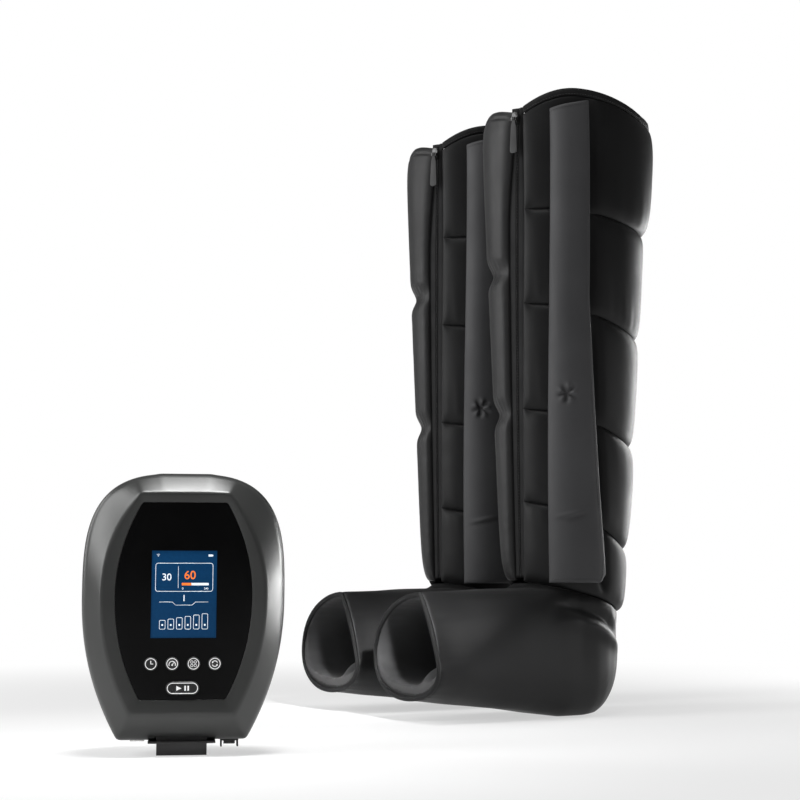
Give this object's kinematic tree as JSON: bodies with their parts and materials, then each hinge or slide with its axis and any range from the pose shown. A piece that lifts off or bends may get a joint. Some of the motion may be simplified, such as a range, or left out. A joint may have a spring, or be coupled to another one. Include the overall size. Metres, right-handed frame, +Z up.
{
  "type": "air compression leg massager",
  "caption": "Inflatable zip-up leg boots with stacked air chambers, and an upright oval controller with display, keys, pump, valves and battery.",
  "frame": {"origin": "middle of the set's bounding box, on the floor that the boots and the controller stand on", "axes": "+Z up; -X is the way the toes of both boots point; the boots stand side by side along Y, and the controller stands ahead of them on the -X -Y side with its face turned to the front"},
  "size_m": [0.77, 0.4668, 0.7118],
  "materials": {
    "nylon": "black coated nylon, satin",
    "flap_nylon": "black coated nylon, satin, a little lighter",
    "binding": "woven binding tape",
    "zip_tape": "woven zip tape with coil teeth",
    "zip_metal": "plated die casting, satin",
    "rubber": "moulded, matte",
    "case_plastic": "dark grey, soft satin",
    "panel": "black, polished",
    "display": "clear lens over a dark blue display",
    "key_plastic": "black, fine satin",
    "board": "green solder mask",
    "grey_plastic": "grey engineering plastic",
    "battery_wrap": "blue shrink film",
    "steel": "plated steel",
    "tube": "clear soft tubing"
  },
  "bodies": {
    "controller": {"front_shell": "case_plastic", "rear_shell": "case_plastic", "front_panel": "panel", "lcd_module": "display", "control_board": "board", "air_pump": "grey_plastic", "pump_motor": "steel", "valve_manifold": "grey_plastic", "solenoid_valve_1": "steel", "solenoid_valve_2": "steel", "solenoid_valve_3": "steel", "solenoid_valve_4": "steel", "solenoid_valve_5": "steel", "solenoid_valve_6": "steel", "battery_pack": "battery_wrap", "pump_hose": "tube", "air_socket": "key_plastic", "rocker_frame": "key_plastic", "dc_jack": "steel", "case_screw_1": "steel", "case_screw_2": "steel", "case_screw_3": "steel", "case_screw_4": "steel", "rear_foot_lower": "rubber", "rear_foot_upper": "rubber"},
    "timer_key": {"key_timer": "key_plastic"},
    "pressure_key": {"key_pressure": "key_plastic"},
    "mode_key": {"key_mode": "key_plastic"},
    "chambers_key": {"key_chambers": "key_plastic"},
    "start_key": {"key_start": "key_plastic"},
    "rocker": {"power_rocker": "key_plastic"},
    "near_boot": {"near_thigh_upper_chamber": "nylon", "near_thigh_lower_chamber": "nylon", "near_knee_chamber": "nylon", "near_calf_chamber": "nylon", "near_ankle_chamber": "nylon", "near_foot_chamber": "nylon", "near_shin_cushion": "nylon", "near_top_binding": "binding", "near_zip_track": "zip_tape", "near_air_tubes": "tube", "near_air_inlet": "grey_plastic"},
    "near_slider": {"near_zip_slider": "zip_metal"},
    "near_pull": {"near_zip_pull": "rubber"},
    "near_flap": {"near_hose_flap": "flap_nylon"},
    "far_boot": {"far_thigh_upper_chamber": "nylon", "far_thigh_lower_chamber": "nylon", "far_knee_chamber": "nylon", "far_calf_chamber": "nylon", "far_ankle_chamber": "nylon", "far_foot_chamber": "nylon", "far_shin_cushion": "nylon", "far_top_binding": "binding", "far_zip_track": "zip_tape", "far_air_tubes": "tube", "far_air_inlet": "grey_plastic"},
    "far_slider": {"far_zip_slider": "zip_metal"},
    "far_pull": {"far_zip_pull": "rubber"},
    "far_flap": {"far_hose_flap": "flap_nylon"}
  },
  "joints": [
    {"name": "timer_key_press", "type": "slide", "parent": "controller", "child": "timer_key", "axis": [0.4242, 0.9056, 0], "range_m": [0, 0.0008], "stiffness_N_per_m": 800, "springref_m": -0.0005},
    {"name": "pressure_key_press", "type": "slide", "parent": "controller", "child": "pressure_key", "axis": [0.4242, 0.9056, 0], "range_m": [0, 0.0008], "stiffness_N_per_m": 800, "springref_m": -0.0005},
    {"name": "mode_key_press", "type": "slide", "parent": "controller", "child": "mode_key", "axis": [0.4242, 0.9056, 0], "range_m": [0, 0.0008], "stiffness_N_per_m": 800, "springref_m": -0.0005},
    {"name": "chambers_key_press", "type": "slide", "parent": "controller", "child": "chambers_key", "axis": [0.4242, 0.9056, 0], "range_m": [0, 0.0008], "stiffness_N_per_m": 800, "springref_m": -0.0005},
    {"name": "start_key_press", "type": "slide", "parent": "controller", "child": "start_key", "axis": [0.4242, 0.9056, 0], "range_m": [0, 0.0008], "stiffness_N_per_m": 800, "springref_m": -0.0005},
    {"name": "power_rocker_tilt", "type": "hinge", "parent": "controller", "child": "rocker", "pos_m": [-0.262, -0.1886, 0.0124], "axis": [0.9056, -0.4242, 0], "range_deg": [0, 14]},
    {"name": "near_boot_lift", "type": "slide", "parent": "controller", "child": "near_boot", "axis": [0, 0, 1], "range_m": [0, 0.3]},
    {"name": "near_zip_run", "type": "slide", "parent": "near_boot", "child": "near_slider", "axis": [0.0302, 0.0438, -0.9986], "range_m": [0, 0.485]},
    {"name": "near_pull_swing", "type": "hinge", "parent": "near_slider", "child": "near_pull", "pos_m": [0.16344, -0.04425, 0.67457], "axis": [-0.4816, 0.8761, 0.0238], "range_deg": [0, 170]},
    {"name": "near_flap_open", "type": "hinge", "parent": "near_boot", "child": "near_flap", "pos_m": [0.20579, -0.05999, 0.147], "axis": [0.0262, 0.0215, -0.9994], "range_deg": [0, 75], "stiffness_Nm_per_rad": 0.02, "springref_deg": -5.73},
    {"name": "far_boot_lift", "type": "slide", "parent": "controller", "child": "far_boot", "axis": [0, 0, 1], "range_m": [0, 0.3]},
    {"name": "far_zip_run", "type": "slide", "parent": "far_boot", "child": "far_slider", "axis": [0.0302, 0.0438, -0.9986], "range_m": [0, 0.485]},
    {"name": "far_pull_swing", "type": "hinge", "parent": "far_slider", "child": "far_pull", "pos_m": [0.16844, 0.12575, 0.67457], "axis": [-0.4816, 0.8761, 0.0238], "range_deg": [0, 170]},
    {"name": "far_flap_open", "type": "hinge", "parent": "far_boot", "child": "far_flap", "pos_m": [0.21079, 0.11001, 0.147], "axis": [0.0262, 0.0215, -0.9994], "range_deg": [0, 35], "stiffness_Nm_per_rad": 0.02, "springref_deg": -5.73}
  ]
}
